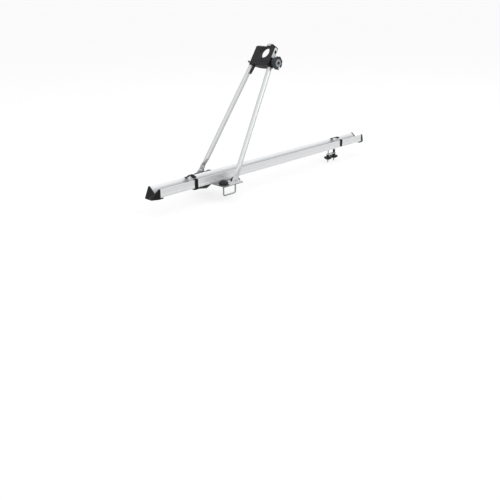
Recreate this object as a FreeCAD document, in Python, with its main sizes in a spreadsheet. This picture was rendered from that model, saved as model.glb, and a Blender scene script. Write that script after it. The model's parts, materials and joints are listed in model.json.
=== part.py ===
import FreeCAD, Part
import math
import os
import re
import Sketcher

# Roof-mounted bike carrier in millimetres. The origin is the centre of the
# front bracket's seat on the roof bar. X runs along the rail towards the rear
# of the car, Y across it towards the far side, and Z points up.

SIZES = {
    # Wheel rail, an extrusion with a V groove and a T slot underneath
    "RailLength": 1345,
    "RailFront": 334,
    "RailWidth": 65,
    "RailHeight": 33.4,
    "RailWall": 1.8,
    "RailLip": 4,
    "GrooveDepth": 22,
    "GrooveFloor": 5,
    "LedgeHeight": 10,
    "BeadHeight": 3,
    "LedgeStep": 0.8,
    "SlotOpening": 8.4,
    "SlotWidth": 15,
    "SlotLip": 2,
    "SlotHeight": 6,
    # End caps
    "CapOverlap": 1.5,
    "CapDrop": 6,
    "CapRise": 2,
    "CapCollar": 6,
    "CapReach": 36,
    "CapNoseWidth": 40,
    "CapNoseHeight": 3,
    "CapLip": 15,
    "CapPlug": 12,
    "CapEar": 5,
    "CapGrooveLift": 0.6,
    # Rivets on the rail's wall
    "WallRivetRadius": 2.4,
    "WallRivetHead": 0.8,
    "WallRivetFirst": 742,
    "WallRivetGap": 43,
    "WallRivetLift": 20.7,
    "WallRivetDrop": 3.3,
    # Front bracket
    "PadThickness": 3,
    "PadLength": 60,
    "PadWidth": 200,
    "PlateThickness": 3,
    "PlateNose": 13,
    "PlateTail": 7,
    "PlateWidth": 216,
    "TongueWidth": 62,
    "TongueThickness": 2.5,
    "TongueDip": 9.5,
    "TongueFall": 26,
    "TongueTipDrop": 2.5,
    "TongueRun": 42,
    "TongueTip": 24,
    "BaseScrewSpacing": 90,
    "BoltRadius": 3,
    "ScrewHeadRadius": 5.4,
    "ScrewHeadHeight": 2.6,
    "SlotNutWidth": 14,
    "SlotNutHeight": 4.5,
    # Ears that carry the arms
    "EarThickness": 2.5,
    "EarTop": 37,
    "EarCrown": 6,
    "EarFoot": 72,
    "FlangeThickness": 2.5,
    "FlangeFront": 20,
    "FlangeWidth": 46,
    "RivetRadius": 2.5,
    "RivetHeadRadius": 4.5,
    "RivetHeadHeight": 1.4,
    "RivetSpacing": 22,
    # U-bolts and their knobs
    "UboltInset": 26.5,
    "UboltLegs": 69.4,
    "UboltWire": 6,
    "UboltBend": 9,
    "UboltDepth": 43,
    "UboltLegTop": 20,
    "WasherRadius": 8,
    "WasherThickness": 1.2,
    "KnobRadius": 21,
    "KnobHeight": 15,
    "KnobRim": 5,
    "KnobCrown": 9,
    "KnobNotches": 8,
    "KnobNotchRadius": 4,
    "KnobNotchDepth": 1.6,
    "KnobRounding": 2.5,
    "KnobHollow": 13.6,
    "InsertRadius": 5,
    "InsertLength": 8,
    # Pivot of the arms
    "PivotX": 8,
    "PivotHeight": 22.6,
    "PivotBolt": 8,
    "PivotHeadRadius": 6.5,
    "PivotHeadHeight": 4.6,
    "PivotNutHeight": 5.6,
    "PivotWasher": 1.2,
    "PivotWasherRadius": 8,
    "PivotTip": 1.5,
    # Arms, measured along each arm from the pivot
    "ArmTilt": 58,
    "ArmTop": 52.8,
    "ArmRun": 500,
    "TubeRadius": 10.5,
    "TubeWall": 1.5,
    "FlareStep": 0.3,
    "LugWidth": 26,
    "LugThickness": 4,
    "LugGap": 0.2,
    "LugStraight": 26,
    "LugShoulder": 58,
    "TubeGrip": 10,
    # Frame clamp head, in the arms' own plane
    "HeadBottom": 503,
    "HeadChin": 4,
    "ShoulderDrop": 10,
    "JawTopWall": 14,
    "FixedTopWall": 2,
    "HeadNear": 60,
    "HeadFar": 47,
    "HeadFarTop": 45,
    "HeadCorner": 6,
    "HeadFront": 23,
    "HeadBack": 13,
    "TopCorner": 6,
    "WaistRise": 7.5,
    "WaistSlope": 12,
    "JawCornerDrop": 11,
    "JawSlopeY": 38,
    "ChinFar": 12,
    "ChinNear": 15,
    "RingRadius": 25,
    "RingCentreY": 12,
    "RingRise": 32.5,
    "RingLining": 2,
    "LiningWidth": 20,
    "LiningCentre": 11.5,
    "JawGap": 0.4,
    "SocketWall": 1.6,
    "SocketGap": 0.1,
    "SocketEnd": 0.5,
    "TubeScrewRise": 5,
    "TubeScrewRadius": 2.5,
    "TubeScrewHead": 4.5,
    "TubeScrewHeadHeight": 2,
    "SpindleRise": 23.5,
    "SpindleDrop": 2,
    "SpindleSeat": 9,
    "SpindleRadius": 3,
    "SpindleReach": 44,
    "SpindleCollar": 5.5,
    "SpindleCollarLength": 1.6,
    "SpindleNutWidth": 9,
    "SpindleNutHeight": 13,
    "SpindleNutLength": 8,
    "JawBossRadius": 7.5,
    "JawBossLength": 4.2,
    "InsertInset": 2,
    "InsertSpan": 17,
    "InsertRise": 2,
    "InsertLip": 12,
    "InsertBack": 4,
    "GripBase": 21,
    "GripRadius": 29,
    "GripLength": 24,
    "GripRim": 7,
    "GripNotches": 8,
    "GripNotchRadius": 6,
    "GripNotchOffset": 31.5,
    "GripGap": 0.4,
    "FaceRadius": 16,
    "FaceThickness": 2,
    "LockRadius": 6,
    "LockLength": 14,
    "LockProud": 0.6,
    "KeySlotWidth": 1.6,
    "KeySlotLength": 7,
    "KeySlotDepth": 5,
    "TabStart": 16.6,
    "TabWidth": 8,
    "TabLength": 9,
    "TabThickness": 1.6,
    "TabTurn": 225,
    "BadgeLength": 45,
    "BadgeBack": 2,
    "BadgeThickness": 2,
    "BadgeRecess": 2.4,
    "BadgeDrop": 14,
    "BadgeFront": 21,
    "BadgeCorner": 4,
    "BadgeOvalLength": 14,
    "BadgeOvalHeight": 10,
    "BadgeOvalDrop": 17,
    "BadgeOvalLift": 9,
    "BadgeOvalRise": 0.6,
    "LeverRise": 6,
    "LeverY": 33,
    "LeverReach": 45,
    "LeverThickness": 5,
    "LeverWidth": 8,
    "LeverSlant": 10,
    "LeverEye": 4,
    "LeverSlotHalf": 5.5,
    "LeverPinRadius": 2,
    "LeverPinTop": 10,
    # Straps and buckles
    "StrapWidth": 18,
    "StrapThickness": 2,
    "StrapRounding": 1.8,
    "StrapGap": 0.4,
    "StrapRest": 17,
    "RearStrapX": 838.5,
    "FrontPeak": 17,
    "RearPeak": 13,
    "BuckleStart": 9,
    "BuckleLength": 24,
    "BuckleSheet": 1.2,
    "BuckleDepth": 9,
    "BucklePinStation": 13,
    "BucklePinDepth": 5,
    "BucklePinRadius": 1.5,
    "CamRadius": 3,
    "CamLever": 12,
    "CamThickness": 1.6,
    # Rear clamp
    "ClampFrontX": 777,
    "ClampRearX": 825,
    "ClampTip": 65,
    "ClampPlateTop": 25,
    "ClampPlateThickness": 3,
    "ClampPlateEnd": 8,
    "ClampPlateWidth": 14,
    "ClampKnobRadius": 20.5,
    "ClampKnobHeight": 13,
    "ClampKnobBoss": 11.5,
    "SleeveRadius": 5.5,
    "SleeveTop": 9.5,
    # Clearances
    "RunningFit": 0.08,
    "BoltClearance": 0.3,
    "PlugGap": 0.25,
}

# Places that are each measured from the piece that carries them
PLACES = {
    "PlateFront": "BaseScrewSpacing / 2 + PlateNose",
    "PlateRear": "BaseScrewSpacing / 2 + PlateTail",
    "TongueDipX": "PlateFront + TongueFall",
    "TongueTipX": "TongueDipX + TongueRun",
    "TongueReach": "TongueTipX + TongueTip",
    "FrontStrapX": "TongueTipX + StrapRest",
    "TubeEnd": "HeadBottom + TubeGrip",
    "TubeScrewStation": "HeadBottom + TubeScrewRise",
    "LeverX": "HeadBottom + LeverRise",
    "SpindleStation": "HeadBottom + SpindleRise",
    "HeadShoulder": "SpindleStation - ShoulderDrop",
    "WaistLow": "SpindleStation + WaistRise",
    "WaistTop": "WaistLow + WaistSlope",
    "RingStation": "SpindleStation + RingRise",
    "FixedTop": "RingStation + RingRadius + RingLining + FixedTopWall",
    "HeadTop": "RingStation + RingRadius + RingLining + JawTopWall",
    "JawCorner": "HeadTop - JawCornerDrop",
    "BadgeEnd": "HeadTop - BadgeDrop",
    "BadgeStart": "BadgeEnd - BadgeLength",
    "BadgeOvalStation": "BadgeEnd - BadgeOvalDrop",
}

doc = FreeCAD.newDocument("BikeCarrier")
sheet = doc.addObject("Spreadsheet::Sheet", "Sizes")
cells = list(SIZES.items()) + [(alias, f"={text}") for alias, text in PLACES.items()]
for row, (alias, content) in enumerate(cells, start=1):
    sheet.set(f"A{row}", alias)
    sheet.set(f"B{row}", str(content))
    sheet.setAlias(f"B{row}", alias)
doc.recompute()

NAME = re.compile("[A-Z][A-Za-z]+")
nodes = {}


# Helpers: expressions

def expand(text):
    """Give each size name in an expression its sheet."""
    return NAME.sub(r"Sizes.\g<0>", str(text))


def number(text):
    """Work out an expression of size names."""
    return float(sheet.evalExpression(expand(text)))


def bind(thing, **sizes):
    """Tie properties of an object to expressions of size names."""
    for prop, text in sizes.items():
        thing.setExpression(prop, expand(text))


def place(thing, x=0, y=0, z=0):
    for axis, text in (("x", x), ("y", y), ("z", z)):
        thing.setExpression(f"Placement.Base.{axis}", expand(text))


def node(thing, name):
    """Register a finished sub-part under the name that it is written as."""
    thing.Label = name
    nodes[name] = thing
    return thing


# Helpers: sketches and PartDesign features

def new_body(name):
    return doc.addObject("PartDesign::Body", name)


def origin_plane(body, role):
    return next(part for part in body.Origin.OriginFeatures if part.Role == role)


def new_sketch(body, plane, offset=0):
    """Sketch on one of the body's origin planes, moved along its normal."""
    sketch = body.newObject("Sketcher::SketchObject", "Sketch")
    sketch.AttachmentSupport = [(origin_plane(body, f"{plane}_Plane"), "")]
    sketch.MapMode = "FlatFace"
    sketch.setExpression("AttachmentOffset.Base.z", expand(offset))
    return sketch


def pin_point(sketch, index, end, point):
    """Hold a point of the sketch at two expressions."""
    for kind, text in zip(("DistanceX", "DistanceY"), point):
        rule = sketch.addConstraint(Sketcher.Constraint(kind, -1, 1, index, end, number(text)))
        sketch.setExpression(f"Constraints[{rule}]", expand(text))


def add_polygon(sketch, points):
    corners = [FreeCAD.Vector(number(a), number(b), 0) for a, b in points]
    first = sketch.GeometryCount
    count = len(corners)
    for step in range(count):
        sketch.addGeometry(Part.LineSegment(corners[step], corners[(step + 1) % count]), False)
    for step in range(count):
        following = first + (step + 1) % count
        sketch.addConstraint(Sketcher.Constraint("Coincident", first + step, 2, following, 1))
        pin_point(sketch, first + step, 1, points[step])


def add_circle(sketch, centre, radius):
    middle = FreeCAD.Vector(number(centre[0]), number(centre[1]), 0)
    index = sketch.addGeometry(Part.Circle(middle, FreeCAD.Vector(0, 0, 1), number(radius)), False)
    pin_point(sketch, index, 3, centre)
    rule = sketch.addConstraint(Sketcher.Constraint("Radius", index, number(radius)))
    sketch.setExpression(f"Constraints[{rule}]", expand(radius))


def add_bent_wire(sketch, runs, bends, radius):
    """Straight runs joined by arcs that turn anticlockwise."""
    lines = []
    for start, end in runs:
        points = [FreeCAD.Vector(number(a), number(b), 0) for a, b in (start, end)]
        index = sketch.addGeometry(Part.LineSegment(*points), False)
        pin_point(sketch, index, 1, start)
        pin_point(sketch, index, 2, end)
        lines.append(index)
    for step, centre in enumerate(bends):
        middle = FreeCAD.Vector(number(centre[0]), number(centre[1]), 0)
        circle = Part.Circle(middle, FreeCAD.Vector(0, 0, 1), number(radius))
        first = math.radians(180 + 90 * step)
        index = sketch.addGeometry(Part.ArcOfCircle(circle, first, first + math.pi / 2), False)
        sketch.addConstraint(Sketcher.Constraint("Coincident", lines[step], 2, index, 1))
        sketch.addConstraint(Sketcher.Constraint("Coincident", index, 2, lines[step + 1], 1))
        rule = sketch.addConstraint(Sketcher.Constraint("Radius", index, number(radius)))
        sketch.setExpression(f"Constraints[{rule}]", expand(radius))


def pad(body, plane, low, high, polygons=(), circles=()):
    """Add material between two heights along the plane's world axis."""
    offset = f"-({high})" if plane == "XZ" else low
    sketch = new_sketch(body, plane, offset)
    for points in polygons:
        add_polygon(sketch, points)
    for centre, radius in circles:
        add_circle(sketch, centre, radius)
    feature = body.newObject("PartDesign::Pad", "Pad")
    feature.Profile = sketch
    bind(feature, Length=f"({high}) - ({low})")
    return feature


def pocket(body, plane, low, high, polygons=(), circles=()):
    """Cut material between two heights along the plane's world axis."""
    offset = f"-({low})" if plane == "XZ" else high
    sketch = new_sketch(body, plane, offset)
    for points in polygons:
        add_polygon(sketch, points)
    for centre, radius in circles:
        add_circle(sketch, centre, radius)
    feature = body.newObject("PartDesign::Pocket", "Pocket")
    feature.Profile = sketch
    bind(feature, Length=f"({high}) - ({low})")
    return feature


def rectangle(a_low, a_high, b_low, b_high):
    return [(a_low, b_low), (a_high, b_low), (a_high, b_high), (a_low, b_high)]


def hexagon(a, b, radius):
    """Six corners round a point, in expressions."""
    turns = range(30, 390, 60)
    return [(f"{a} + ({radius}) * cos({turn})", f"{b} + ({radius}) * sin({turn})") for turn in turns]


def turned(body, points):
    """Revolve a half outline of radius and height about the Z axis."""
    sketch = new_sketch(body, "XZ")
    add_polygon(sketch, points)
    feature = body.newObject("PartDesign::Revolution", "Revolution")
    feature.Profile = sketch
    feature.ReferenceAxis = (sketch, ["V_Axis"])
    feature.Angle = 360
    return feature


def loft(body, sketches, ruled=True):
    feature = body.newObject("PartDesign::AdditiveLoft", "Loft")
    feature.Profile = sketches[0]
    feature.Sections = sketches[1:]
    feature.Ruled = ruled
    return feature


def round_edges(body, radius, wanted, bevel=False):
    """Fillet or bevel the edges of the body's tip that a test picks out."""
    doc.recompute()
    base = body.Tip
    picked = [f"Edge{i}" for i, edge in enumerate(base.Shape.Edges, start=1) if wanted(edge)]
    kind = "Chamfer" if bevel else "Fillet"
    feature = body.newObject(f"PartDesign::{kind}", kind)
    feature.Base = (base, picked)
    bind(feature, **{"Size" if bevel else "Radius": radius})
    return feature


def along(edge, axis):
    """Tell whether a straight edge runs along a world axis of its body."""
    if not isinstance(edge.Curve, Part.Line):
        return False
    return abs(edge.Curve.Direction.dot(axis)) > math.cos(math.radians(1))


# Helpers: primitives and booleans

AHEAD = FreeCAD.Vector(1, 0, 0)
ACROSS = FreeCAD.Vector(0, 1, 0)
NEAR_ENOUGH = 0.1
UP = FreeCAD.Vector(0, 0, 1)
AXIS_TURN = {
    "X": FreeCAD.Rotation(FreeCAD.Vector(0, 1, 0), 90),
    "Y": FreeCAD.Rotation(FreeCAD.Vector(1, 0, 0), -90),
    "Z": FreeCAD.Rotation(),
}


def rod(name, axis, start, radius, length):
    """Cylinder from a start point towards the positive end of an axis."""
    thing = doc.addObject("Part::Cylinder", name)
    thing.Placement = FreeCAD.Placement(FreeCAD.Vector(), AXIS_TURN[axis])
    place(thing, *start)
    bind(thing, Radius=radius, Height=length)
    return thing


def box(name, x_range, y_range, z_range):
    """Box between two ends on each axis."""
    thing = doc.addObject("Part::Box", name)
    place(thing, x_range[0], y_range[0], z_range[0])
    lengths = [f"({high}) - ({low})" for low, high in (x_range, y_range, z_range)]
    bind(thing, Length=lengths[0], Width=lengths[1], Height=lengths[2])
    return thing


def ring(name, axis, start, outer, inner, length):
    return cut(name, rod(f"{name}Outer", axis, start, outer, length),
               rod(f"{name}Bore", axis, start, inner, length))


def fuse(name, *parts):
    thing = doc.addObject("Part::MultiFuse", name)
    thing.Shapes = list(parts)
    return thing


def cut(name, base, *tools):
    thing = doc.addObject("Part::Cut", name)
    thing.Base = base
    thing.Tool = tools[0] if len(tools) == 1 else fuse(f"{name}Tools", *tools)
    return thing


def common(name, *parts):
    thing = doc.addObject("Part::MultiCommon", name)
    thing.Shapes = list(parts)
    return thing


def group(name, *parts):
    """Keep several separate solids in one sub-part."""
    thing = doc.addObject("Part::Compound", name)
    thing.Links = list(parts)
    return thing


# Heights and places that several pieces share

SIDES = (("near", -1), ("far", 1))
PLATE_BOTTOM = "PadThickness"
RAIL_BOTTOM = "(PadThickness + PlateThickness)"
RAIL_TOP = f"({RAIL_BOTTOM} + RailHeight)"
RAIL_START = "(-RailFront)"
RAIL_END = "(RailLength - RailFront)"
GROOVE_BOTTOM = "(RailHeight - GrooveDepth)"
GROOVE_SLOPE = "(GrooveDepth / (RailWidth / 2 - RailLip - GrooveFloor / 2))"
SLOT_TOP = "(SlotLip + SlotHeight)"
LEG_X = "(UboltLegs / 2)"
LEG_HOLE = "(UboltWire / 2 + BoltClearance)"
EAR_OUTSIDE = "(PlateWidth / 2)"
EAR_INSIDE = "(PlateWidth / 2 - EarThickness)"
LEG_Y = f"({EAR_INSIDE} - UboltInset)"
FLANGE_TOP = f"({RAIL_BOTTOM} + FlangeThickness)"
KNOB_SEAT = f"({FLANGE_TOP} + WasherThickness)"
SLOT_SEAT = f"({RAIL_BOTTOM} + SlotLip)"
BOLT_HOLE = "(BoltRadius + BoltClearance)"
RIVET_HOLE = "(RivetRadius + RunningFit)"
TUBE_SCREW_HOLE = "(TubeScrewRadius + RunningFit)"
LUG_OUTSIDE = f"({EAR_INSIDE} - LugGap)"
LUG_INSIDE = f"({LUG_OUTSIDE} - LugThickness)"
PIVOT_NUT = f"({LUG_INSIDE} - LugGap - PivotWasher - PivotNutHeight)"
ARM_FOOT = f"({LUG_OUTSIDE} - LugThickness / 2)"
SLOPE = f"(({ARM_FOOT} - ArmTop) / ArmRun)"
LEAN = f"atan({SLOPE})"
SPLIT_FAR = "(JawGap / 2 - RingCentreY)"
SPLIT_NEAR = "(-JawGap / 2 - RingCentreY)"
JAW_BOTTOM = "(HeadShoulder + JawGap)"
GRIP_BACK = "(HeadNear + JawBossLength + GripGap)"
GRIP_FACE = f"({GRIP_BACK} + GripLength)"


def span(side, inner, outer):
    """Low and high end of a stretch across the carrier on one side."""
    ends = (f"{side} * ({inner})", f"{side} * ({outer})")
    return ends if side > 0 else ends[::-1]


# Wheel rail

def rail_outline():
    """Outer contour of the extrusion, with the T slot as part of it."""
    half = [
        ("SlotOpening / 2", "0"),
        ("RailWidth / 2", "0"),
        ("RailWidth / 2", "LedgeHeight"),
        ("RailWidth / 2 - LedgeStep", "LedgeHeight + LedgeStep"),
        ("RailWidth / 2 - LedgeStep", "RailHeight - BeadHeight - LedgeStep"),
        ("RailWidth / 2", "RailHeight - BeadHeight"),
        ("RailWidth / 2", "RailHeight"),
        ("RailWidth / 2 - RailLip", "RailHeight"),
        ("GrooveFloor / 2", GROOVE_BOTTOM),
    ]
    slot = [
        ("-SlotOpening / 2", "0"),
        ("-SlotOpening / 2", "SlotLip"),
        ("-SlotWidth / 2", "SlotLip"),
        ("-SlotWidth / 2", SLOT_TOP),
        ("SlotWidth / 2", SLOT_TOP),
        ("SlotWidth / 2", "SlotLip"),
        ("SlotOpening / 2", "SlotLip"),
    ]
    mirrored = [(f"-({y})", z) for y, z in reversed(half)]
    return half + mirrored[:-1] + slot


def hollow(side, inset):
    """One of the two hollows beside the slot, drawn in by a clearance."""
    inner = f"(SlotWidth / 2 + RailWall + {inset})"
    outer = f"(RailWidth / 2 - LedgeStep - RailWall - {inset})"
    knee = f"(RailWidth / 2 - RailLip - {inset})"
    web = f"((RailWall + {inset}) * sqrt(1 + {GROOVE_SLOPE}^2))"
    roof = f"(RailHeight - {web} - {inset} * {GROOVE_SLOPE})"
    ledge = f"({GROOVE_BOTTOM} + ({inner} - GrooveFloor / 2) * {GROOVE_SLOPE} - {web})"
    floor = f"(RailWall + {inset})"
    points = [(inner, floor), (outer, floor), (outer, roof), (knee, roof), (inner, ledge)]
    return [(f"{side} * {y}", z) for y, z in points]


def make_rail():
    rail = new_body("WheelRail")
    polygons = [rail_outline()] + [hollow(side, "0") for _, side in SIDES]
    pad(rail, "YZ", "0", "RailLength", polygons)
    place(rail, RAIL_START, 0, RAIL_BOTTOM)
    node(rail, "wheel_rail")


def cap_section(half_width, top, ear, groove_half, groove_bottom):
    """Eight corners of the cap's face, with the wheel groove let into it."""
    half = [(half_width, "-CapDrop"), (half_width, top), (ear, top), (groove_half, groove_bottom)]
    mirrored = [(f"-({y})", z) for y, z in reversed(half)]
    return half + mirrored


def make_end_caps():
    collar = cap_section("(RailWidth / 2 + CapOverlap)", "(RailHeight + CapRise)",
                         "(RailWidth / 2 + CapOverlap - CapEar)",
                         "(GrooveFloor / 2)", f"({GROOVE_BOTTOM} + CapGrooveLift)")
    nose = cap_section("(CapNoseWidth / 2)", "(CapNoseHeight - CapDrop)",
                       "(CapNoseWidth / 2 - CapEar)",
                       "(GrooveFloor / 2)", "(CapNoseHeight * 2 / 3 - CapDrop)")
    for name, end, turn in (("front_end_cap", RAIL_START, 0), ("rear_end_cap", RAIL_END, 180)):
        cap = new_body(name)
        pad(cap, "YZ", "-CapCollar", "0", [collar])
        back = new_sketch(cap, "YZ", "-CapCollar")
        add_polygon(back, collar)
        front = new_sketch(cap, "YZ", "-CapReach")
        add_polygon(front, nose)
        loft(cap, [back, front])
        lip = rectangle("-RailWidth / 2", "RailWidth / 2", "-CapDrop", "0")
        pad(cap, "YZ", "0", "CapLip", [lip])
        pad(cap, "YZ", "0", "CapPlug", [hollow(side, "PlugGap") for _, side in SIDES])
        cap.Placement = FreeCAD.Placement(FreeCAD.Vector(), FreeCAD.Rotation(turn, 0, 0))
        place(cap, end, 0, RAIL_BOTTOM)
        node(cap, name)


def make_wall_rivets():
    recess = "(RailWidth / 2 - LedgeStep)"
    rivets = []
    for index in range(2):
        x = f"WallRivetFirst + {index} * WallRivetGap"
        z = f"{RAIL_BOTTOM} + WallRivetLift - {index} * WallRivetDrop"
        rivets.append(rod("WallRivet", "Y", (x, f"-{recess} - WallRivetHead", z),
                          "WallRivetRadius", "WallRivetHead"))
    node(group("WallRivets", *rivets), "wall_rivets")


# Front bracket

def leg_places(side):
    return [(f"{end} * {LEG_X}", f"{side} * {LEG_Y}") for end in (-1, 1)]


def rivet_places(side):
    middle = f"{side} * {LEG_Y}"
    return [("0", f"{middle} + {step} * RivetSpacing / 2") for step in (-1, 1)]


def make_bracket_base():
    base = new_body("BracketBase")
    half = "PlateWidth / 2"
    holes = [((f"{end} * BaseScrewSpacing / 2", "0"), BOLT_HOLE) for end in (-1, 1)]
    for _, side in SIDES:
        holes += [(spot, LEG_HOLE) for spot in leg_places(side)]
        holes += [(spot, RIVET_HOLE) for spot in rivet_places(side)]
    pad(base, "XY", PLATE_BOTTOM, RAIL_BOTTOM,
        [rectangle("-PlateFront", "PlateRear", f"-{half}", half)], holes)
    tongue = [
        ("-PlateFront", PLATE_BOTTOM),
        ("-PlateFront", RAIL_BOTTOM),
        ("-TongueDipX", "TongueThickness - TongueDip"),
        ("-TongueTipX", "TongueThickness - TongueTipDrop"),
        ("-TongueReach", "TongueThickness - TongueTipDrop"),
        ("-TongueReach", "-TongueTipDrop"),
        ("-TongueTipX", "-TongueTipDrop"),
        ("-TongueDipX", "-TongueDip"),
    ]
    pad(base, "XZ", "-TongueWidth / 2", "TongueWidth / 2", [tongue])
    node(base, "bracket_base")


def make_bar_pad():
    bar_pad = new_body("BarPad")
    pad(bar_pad, "XY", "0", PLATE_BOTTOM,
        [rectangle("-PadLength / 2", "PadLength / 2", "-PadWidth / 2", "PadWidth / 2")])
    round_edges(bar_pad, "PadThickness", lambda edge: along(edge, UP))
    node(bar_pad, "bar_pad")


def make_base_screws():
    """Nuts in the T slot, and the screws that pull the base plate to the rail."""
    nuts = []
    screws = []
    half = "SlotNutWidth / 2"
    for end in (-1, 1):
        x = f"{end} * BaseScrewSpacing / 2"
        block = box("SlotNutBlock", (f"{x} - {half}", f"{x} + {half}"), (f"-{half}", half),
                    (SLOT_SEAT, f"{SLOT_SEAT} + SlotNutHeight"))
        thread = rod("SlotNutThread", "Z", (x, 0, SLOT_SEAT), "BoltRadius + RunningFit", "SlotNutHeight")
        nuts.append(cut("SlotNut", block, thread))
        head = rod("ScrewHead", "Z", (x, 0, f"{PLATE_BOTTOM} - ScrewHeadHeight"), "ScrewHeadRadius",
                   "ScrewHeadHeight")
        shank = rod("ScrewShank", "Z", (x, 0, PLATE_BOTTOM), "BoltRadius",
                    f"{SLOT_SEAT} + SlotNutHeight - {PLATE_BOTTOM}")
        screws.append(fuse("BaseScrew", head, shank))
    node(group("SlotNuts", *nuts), "rail_slot_nuts")
    node(group("BaseScrews", *screws), "rail_base_screws")


def make_ears():
    crown = "EarTop"
    face = [
        ("PivotX - EarFoot / 2", RAIL_BOTTOM),
        ("PivotX + EarFoot / 2", RAIL_BOTTOM),
        ("PivotX + EarCrown / 2", crown),
        ("PivotX - EarCrown / 2", crown),
    ]
    pivot_hole = (("PivotX", "PivotHeight"), "PivotBolt / 2 + BoltClearance")
    rivets = []
    for name, side in SIDES:
        ear = new_body(f"{name}Ear")
        pad(ear, "XZ", *span(side, EAR_INSIDE, EAR_OUTSIDE), [face], [pivot_hole])
        across = span(side, f"{EAR_INSIDE} - FlangeWidth", EAR_INSIDE)
        flange = rectangle("-FlangeFront", "PlateRear", *across)
        holes = [((LEG_X, f"{side} * {LEG_Y}"), LEG_HOLE)]
        holes += [(spot, RIVET_HOLE) for spot in rivet_places(side)]
        pad(ear, "XY", RAIL_BOTTOM, FLANGE_TOP, [flange], holes)
        crown_height = number(crown) - NEAR_ENOUGH
        round_edges(ear, "EarCrown", lambda edge: along(edge, ACROSS) and edge.CenterOfMass.z > crown_height)
        node(ear, f"{name}_ear")
        for x, y in rivet_places(side):
            shank = rod("RivetShank", "Z", (x, y, PLATE_BOTTOM), "RivetRadius",
                        f"{FLANGE_TOP} - {PLATE_BOTTOM}")
            head = rod("RivetHead", "Z", (x, y, FLANGE_TOP), "RivetHeadRadius", "RivetHeadHeight")
            rivets.append(fuse("Rivet", shank, head))
    node(group("EarRivets", *rivets), "ear_rivets")


# U-bolts and knobs

def make_u_bolts():
    bend_z = "UboltBend - UboltDepth"
    bend_x = f"({LEG_X} - UboltBend)"
    for name, side in SIDES:
        bolt = new_body(f"{name}UBolt")
        section = new_sketch(bolt, "XY", "UboltLegTop")
        add_circle(section, (f"-{LEG_X}", "0"), "UboltWire / 2")
        spine = new_sketch(bolt, "XZ")
        runs = [
            ((f"-{LEG_X}", "UboltLegTop"), (f"-{LEG_X}", bend_z)),
            ((f"-{bend_x}", "-UboltDepth"), (bend_x, "-UboltDepth")),
            ((LEG_X, bend_z), (LEG_X, "UboltLegTop")),
        ]
        add_bent_wire(spine, runs, [(f"-{bend_x}", bend_z), (bend_x, bend_z)], "UboltBend")
        pipe = bolt.newObject("PartDesign::AdditivePipe", "Pipe")
        pipe.Profile = section
        pipe.Spine = spine
        place(bolt, 0, f"{side} * {LEG_Y}", 0)
        node(bolt, f"{name}_u_bolt")


def make_u_bolt_washers():
    """Rear washers lie on the ears' flanges, the front ones are spacers as high."""
    washers = []
    for _, side in SIDES:
        for (x, y), seat in zip(leg_places(side), (RAIL_BOTTOM, FLANGE_TOP)):
            washers.append(ring("Washer", "Z", (x, y, seat), "WasherRadius", LEG_HOLE,
                                f"{KNOB_SEAT} - {seat}"))
    node(group("Washers", *washers), "u_bolt_washers")


def notch_knob(knob, height, offset):
    """Finger notches round a knob's rim."""
    count = int(number("KnobNotches"))
    notches = []
    for step in range(count):
        turn = 360 * step / count
        notches.append(((f"{offset} * cos({turn})", f"{offset} * sin({turn})"), "KnobNotchRadius"))
    pocket(knob, "XY", "0", height, circles=notches)


def round_rim(knob):
    """Soften the three outer rings of a knob."""
    crown = number("KnobCrown")
    round_edges(knob, "min(KnobRounding; KnobRim / 3)",
                lambda edge: isinstance(edge.Curve, Part.Circle) and edge.Curve.Radius > crown - NEAR_ENOUGH)


def make_front_knobs():
    bore = "(InsertRadius + RunningFit)"
    thread = "(UboltWire / 2 + RunningFit)"
    outline = [
        (bore, "0"),
        ("KnobRadius", "0"),
        ("KnobRadius", "KnobRim"),
        ("KnobCrown", "KnobHeight"),
        ("0", "KnobHeight"),
        ("0", "KnobHollow"),
        (LEG_HOLE, "KnobHollow"),
        (LEG_HOLE, "InsertLength"),
        (bore, "InsertLength"),
    ]
    for side_name, side in SIDES:
        for end_name, (x, y) in zip(("front", "rear"), leg_places(side)):
            name = f"{side_name}_{end_name}_knob"
            knob = new_body(name)
            turned(knob, outline)
            round_rim(knob)
            notch_knob(knob, "KnobHeight", "(KnobRadius + KnobNotchRadius - KnobNotchDepth)")
            place(knob, x, y, KNOB_SEAT)
            node(knob, name)
            insert = ring("Insert", "Z", (0, 0, 0), "InsertRadius", thread, "InsertLength")
            place(insert, x, y, KNOB_SEAT)
            node(insert, f"{name}_insert")


# Pivot and arms

def make_pivots():
    bolts = []
    washers = []
    nuts = []
    middle = ("PivotX", "PivotHeight")
    for _, side in SIDES:
        bolt = new_body("PivotBolt")
        pad(bolt, "XZ", *span(side, EAR_OUTSIDE, f"{EAR_OUTSIDE} + PivotHeadHeight"),
            [hexagon(*middle, "PivotHeadRadius")])
        pad(bolt, "XZ", *span(side, f"{PIVOT_NUT} - PivotTip", EAR_OUTSIDE),
            circles=[(middle, "PivotBolt / 2")])
        bolts.append(bolt)
        thread = (middle, "PivotBolt / 2 + RunningFit")
        washer = new_body("PivotWasher")
        pad(washer, "XZ", *span(side, f"{PIVOT_NUT} + PivotNutHeight", f"{LUG_INSIDE} - LugGap"),
            circles=[(middle, "PivotWasherRadius"), thread])
        washers.append(washer)
        nut = new_body("PivotNut")
        pad(nut, "XZ", *span(side, PIVOT_NUT, f"{PIVOT_NUT} + PivotNutHeight"),
            [hexagon(*middle, "PivotHeadRadius")], [thread])
        nuts.append(nut)
    node(group("PivotBolts", *bolts), "pivot_bolts")
    node(group("PivotWashers", *washers), "pivot_washers")
    node(group("PivotNuts", *nuts), "pivot_nuts")


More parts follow.
